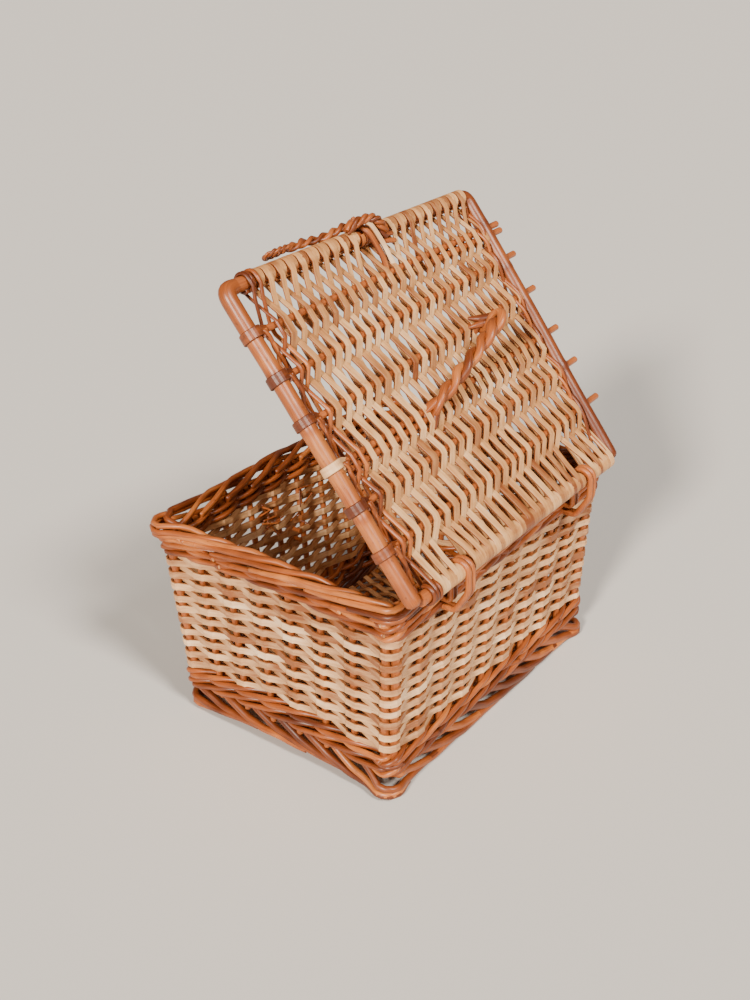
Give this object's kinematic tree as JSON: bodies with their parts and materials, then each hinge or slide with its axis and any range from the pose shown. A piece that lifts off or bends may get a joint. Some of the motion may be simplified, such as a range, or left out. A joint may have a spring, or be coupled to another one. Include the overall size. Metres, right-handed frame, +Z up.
{
  "type": "wicker basket",
  "caption": "Rectangular woven willow hamper with a hinged lid on willow loops, twisted rod handle, twisted rope hasp and noose; white woven sides, buff borders.",
  "frame": {"origin": "centre of the whole part's footprint, on the surface that the basket stands on; the basket itself is centred there", "axes": "+Z up; front with the hasp faces -Y, hinge side faces +Y, X runs along the hinge; the lid is stored standing open"},
  "size_m": [0.3703, 0.3354, 0.4726],
  "materials": {
    "white_willow": "satin",
    "buff_willow": "satin",
    "thick_rod": "satin",
    "twisted_rod": "satin",
    "binding_willow": "satin"
  },
  "bodies": {
    "basket": {"base_sticks": "buff_willow", "base_weave": "white_willow", "corner_stakes": "buff_willow", "foot_border_back": "buff_willow", "foot_border_front": "buff_willow", "foot_border_left": "buff_willow", "foot_border_right": "buff_willow", "front_noose": "twisted_rod", "hinge_loop_left": "twisted_rod", "hinge_loop_right": "twisted_rod", "lower_wale_back": "buff_willow", "lower_wale_front": "buff_willow", "lower_wale_left": "buff_willow", "lower_wale_right": "buff_willow", "siding_back": "white_willow", "siding_front": "white_willow", "siding_left": "white_willow", "siding_right": "white_willow", "stakes_back": "buff_willow", "stakes_front": "buff_willow", "stakes_left": "buff_willow", "stakes_right": "buff_willow", "top_border_back": "buff_willow", "top_border_front": "buff_willow", "top_border_left": "buff_willow", "top_border_right": "buff_willow", "upper_wale_back": "buff_willow", "upper_wale_front": "buff_willow", "upper_wale_left": "buff_willow", "upper_wale_right": "buff_willow"},
    "lid": {"hasp_knot": "twisted_rod", "lid_back_bar": "thick_rod", "lid_back_wraps": "white_willow", "lid_edge_ties": "binding_willow", "lid_front_bar": "thick_rod", "lid_front_wraps": "white_willow", "lid_half_sticks": "buff_willow", "lid_handle": "twisted_rod", "lid_side_bindings": "binding_willow", "lid_side_rod_left": "thick_rod", "lid_side_rod_right": "thick_rod", "lid_stick_1": "buff_willow", "lid_stick_2": "buff_willow", "lid_stick_3": "buff_willow", "lid_stick_4": "buff_willow", "lid_stick_5": "buff_willow", "lid_stick_6": "buff_willow", "lid_weave": "white_willow"},
    "hasp": {"hasp": "twisted_rod"}
  },
  "joints": [
    {"name": "lid_hinge", "type": "hinge", "parent": "basket", "child": "lid", "pos_m": [0, 0.1585, 0.2222], "axis": [-1, 0, 0], "range_deg": [-52.5, 57.5]},
    {"name": "hasp_swing", "type": "hinge", "parent": "lid", "child": "hasp", "pos_m": [-0.0035, -0.02766, 0.46481], "axis": [0, 0.6088, -0.7934], "range_deg": [0, 180]}
  ]
}
